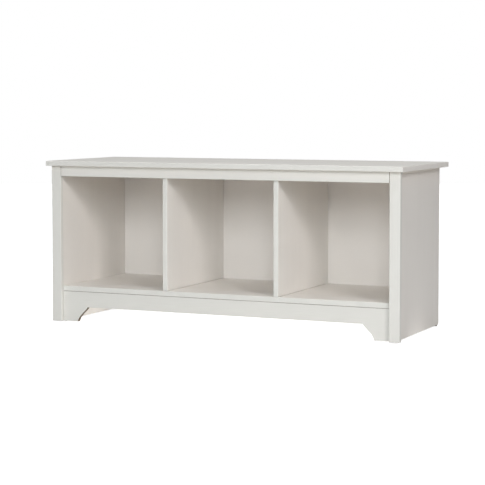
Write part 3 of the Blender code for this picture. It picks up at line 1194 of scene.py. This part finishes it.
def fluted_dowel(name, node, axis, finish):
    """A dowel with pressed flutes, rounded off in two steps at each end."""
    low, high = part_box(node)
    length = high[axis] - low[axis]
    radius = min(high[other] - low[other] for other in (X, Y, Z)) / 2
    tip = radius * DOWEL_TIP * DOWEL_TIP
    count = DOWEL_FLUTES * SIDES_PER_FLUTE
    shape = bmesh.new()
    bmesh.ops.create_circle(shape, cap_ends=True, segments=count, radius=tip)
    hollows = shape.verts[:][::SIDES_PER_FLUTE]
    bmesh.ops.scale(shape, vec=(FLUTE_DEPTH, FLUTE_DEPTH, 1.0), verts=hollows)
    end = shape.faces[:][0]
    steep = radius * STEEP_STEP
    slow = radius * SLOW_STEP
    end = raise_face(shape, end, steep, 1.0 / DOWEL_TIP)
    end = raise_face(shape, end, slow, 1.0 / DOWEL_TIP)
    end = raise_face(shape, end, length - 2 * (steep + slow), 1.0)
    end = raise_face(shape, end, slow, DOWEL_TIP)
    raise_face(shape, end, steep, DOWEL_TIP)
    inner = [face for face in shape.faces if all(len(edge.link_faces) > 2 for edge in face.edges)]
    bmesh.ops.delete(shape, geom=inner, context="FACES_ONLY")
    bmesh.ops.recalc_face_normals(shape, faces=shape.faces)
    bmesh.ops.translate(shape, vec=(0.0, 0.0, -length / 2), verts=shape.verts)
    place = Matrix.Translation((low + high) / 2) @ facing(axis)
    bmesh.ops.transform(shape, matrix=place, verts=shape.verts)
    return object_from(name, shape, [finish])


class BENCH_OT_dowels(bpy.types.Operator):
    """Make the hidden fluted dowels, with the beech grain along each one"""

    bl_idname = "bench.dowels"
    bl_label = "Dowels"

    def execute(self, context):
        groups = (
            (Z, several("divider_dowel_*_*", BOTH, ENDS)),
            (Y, several("stile_dowel_*_*", BOTH, LEVELS)),
            (X, several("rail_end_dowel_*", BOTH)),
            (Z, several("rail_top_dowel_*", BOTH)),
            (Z, several("front_apron_dowel_*", APRON_DOWELS)),
            (Z, several("rear_apron_dowel_*", BOTH)),
        )
        for axis, names in groups:
            finish = finish_named(f"beech_{AXIS_NAMES[axis]}")
            for name in names:
                dowel = fluted_dowel(f"fluted_{name}", name, axis, finish)
                hand_over(dowel, "beech_dowel", name)
        return {"FINISHED"}


class BENCH_OT_glides(bpy.types.Operator):
    """Make the four nail-on floor glides"""

    bl_idname = "bench.glides"
    bl_label = "Floor Glides"

    def execute(self, context):
        pin = context.scene.bench_sizes.glide_pin_radius
        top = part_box("left_side_panel")[0].z - context.scene.bench_sizes.drill_clearance
        for side in BOTH:
            for end in ENDS:
                node = f"floor_glide_{side}_{end}"
                low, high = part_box(node)
                radius = (high.x - low.x) / 2
                profile = (
                    (0.0, high.z),
                    (pin * 0.4, high.z - 0.0004),
                    (pin, high.z - 0.0024),
                    (pin, top),
                    (radius - 0.0004, top),
                    (radius, top - 0.0004),
                    (radius, 0.0018),
                    (radius - 0.0004, 0.0008),
                    (radius - 0.0013, 0.0002),
                    (radius - 0.0024, 0.0),
                    (0.0, 0.0),
                )
                spot = Matrix.Translation(((low.x + high.x) / 2, (low.y + high.y) / 2, 0.0))
                shape = turned(profile, spot)
                glide = object_from(f"nail_glide_{side}_{end}", shape, [finish_named("plastic")])
                hand_over(glide, "brown_plastic", node)
        return {"FINISHED"}


# ---------------------------------------------------------------- studio


def soft_light(name, power, colour, size, azimuth, elevation, distance):
    """A square area light that faces the bench from a distance.

    Azimuth 0 is straight in front, 90 is at the bench's right end."""
    lamp = bpy.data.lights.new(name, "AREA")
    lamp.shape = "SQUARE"
    lamp.size = size
    lamp.energy = power
    lamp.color = colour
    light = bpy.data.objects.new(name, lamp)
    turn = math.radians(azimuth)
    rise = math.radians(elevation)
    away = Vector(
        (math.sin(turn) * math.cos(rise), -math.cos(turn) * math.cos(rise), math.sin(rise))
    )
    light.location = LIGHT_AIM + away * distance
    light.rotation_mode = "QUATERNION"
    light.rotation_quaternion = away.to_track_quat("Z", "Y")
    bpy.context.scene.collection.objects.link(light)


class BENCH_OT_studio(bpy.types.Operator):
    """Make the floor, the soft lights and the camera"""

    bl_idname = "bench.studio"
    bl_label = "Studio"

    def execute(self, context):
        studio = context.scene.bench_studio
        self.lay_floor(studio)
        self.light_room(studio)
        self.set_camera(context, studio)
        return {"FINISHED"}

    def lay_floor(self, studio):
        """A pale floor that looks white, and lights only the bench's underside."""
        finish, tree, shader = start_finish("studio_floor", FLOOR_GREY, 0.9)
        shader.inputs["Emission Color"].default_value = (*WHITE, 1.0)
        path = tree.nodes.new("ShaderNodeLightPath")
        far = radial(tree, (studio.floor_radius, studio.floor_radius, 1.0))
        across, back = PATCH_REACH
        under = radial(tree, (FRAME_BOX[1].x * across, FRAME_BOX[1].y * back, 1.0))
        seen = remap(tree, far, *GLOW_RISES, studio.floor_glow, FAR_GLOW)
        given = remap(tree, under, 0.0, PATCH_EDGE, 0.0, studio.light_table)
        glow = tree.nodes.new("ShaderNodeMath")
        glow.operation = "MULTIPLY"
        tree.links.new(path.outputs["Is Camera Ray"], glow.inputs[0])
        tree.links.new(seen, glow.inputs[1])
        total = tree.nodes.new("ShaderNodeMath")
        total.operation = "MAXIMUM"
        tree.links.new(glow.outputs["Value"], total.inputs[0])
        tree.links.new(given, total.inputs[1])
        tree.links.new(total.outputs["Value"], shader.inputs["Emission Strength"])
        shape = bmesh.new()
        bmesh.ops.create_circle(
            shape, cap_ends=True, segments=FLOOR_SIDES, radius=studio.floor_radius
        )
        object_from("studio_floor", shape, [finish])

    def light_room(self, studio):
        """Soft lights in a dim room that looks white."""
        world = bpy.data.worlds.new("studio_room")
        world.use_nodes = True
        tree = world.node_tree
        room = tree.nodes["Background"]
        room.inputs["Color"].default_value = (*WHITE, 1.0)
        room.inputs["Strength"].default_value = studio.room_light
        white = tree.nodes.new("ShaderNodeBackground")
        white.inputs["Color"].default_value = (*WHITE, 1.0)
        path = tree.nodes.new("ShaderNodeLightPath")
        either = tree.nodes.new("ShaderNodeMixShader")
        tree.links.new(path.outputs["Is Camera Ray"], either.inputs[0])
        tree.links.new(room.outputs["Background"], either.inputs[1])
        tree.links.new(white.outputs["Background"], either.inputs[2])
        surface = tree.nodes["World Output"].inputs["Surface"]
        tree.links.new(either.outputs["Shader"], surface)
        bpy.context.scene.world = world
        for name, power, colour, size, azimuth, elevation, distance in (
            ("key_light", studio.key_power, WARM, 1.2, 50.0, 24.0, 6.0),
            ("front_light", studio.front_power, COOL, 1.9, 20.0, 19.0, 6.0),
            ("fill_light", studio.fill_power, COOL, 3.0, 0.0, 10.0, 6.0),
            ("overhead_light", studio.overhead_power, COOL, 2.5, 0.0, 85.0, 4.0),
            ("rear_light", studio.rear_power, COOL, 2.5, 245.0, 14.0, 6.0),
        ):
            soft_light(name, power, colour, size, azimuth, elevation, distance)

    def set_camera(self, context, studio):
        scene = context.scene
        lens = bpy.data.cameras.new("studio_camera")
        lens.lens = studio.lens
        lens.sensor_width = SENSOR_WIDTH
        lens.shift_y = CAMERA_SHIFT
        lens.clip_start = CLIP_START
        lens.clip_end = CLIP_END
        camera = bpy.data.objects.new("studio_camera", lens)
        camera.location = CAMERA_PLACE
        tilt = math.radians(90.0 - CAMERA_PITCH)
        camera.rotation_euler = (tilt, 0.0, math.radians(CAMERA_YAW))
        scene.collection.objects.link(camera)
        scene.camera = camera
        scene.view_settings.view_transform = "Standard"


# ---------------------------------------------------------------- panel


OPERATORS = (
    BENCH_OT_top,
    BENCH_OT_end_panels,
    BENCH_OT_face_frame,
    BENCH_OT_cubby_boards,
    BENCH_OT_aprons,
    BENCH_OT_back,
    BENCH_OT_cam_locks,
    BENCH_OT_screws,
    BENCH_OT_dowels,
    BENCH_OT_glides,
    BENCH_OT_studio,
)


class BENCH_PT_pieces(bpy.types.Panel):
    """Lists the bench's pieces in the sidebar"""

    bl_idname = "BENCH_PT_pieces"
    bl_label = "Entryway Bench"
    bl_space_type = "VIEW_3D"
    bl_region_type = "UI"
    bl_category = "Bench"

    def draw(self, context):
        for operator in OPERATORS:
            self.layout.operator(operator.bl_idname)


SETTINGS = (
    ("bench_sizes", BenchSizes),
    ("bench_colours", BenchColours),
    ("bench_studio", BenchStudio),
)


def register():
    for name, group in SETTINGS:
        bpy.utils.register_class(group)
        setattr(bpy.types.Scene, name, PointerProperty(type=group))
    for made in (*OPERATORS, BENCH_PT_pieces):
        bpy.utils.register_class(made)


def unregister():
    for made in (BENCH_PT_pieces, *reversed(OPERATORS)):
        bpy.utils.unregister_class(made)
    for name, group in reversed(SETTINGS):
        delattr(bpy.types.Scene, name)
        bpy.utils.unregister_class(group)


def main():
    register()
    for operator in OPERATORS:
        group, name = operator.bl_idname.split(".")
        getattr(getattr(bpy.ops, group), name)()


if __name__ == "__main__":
    main()
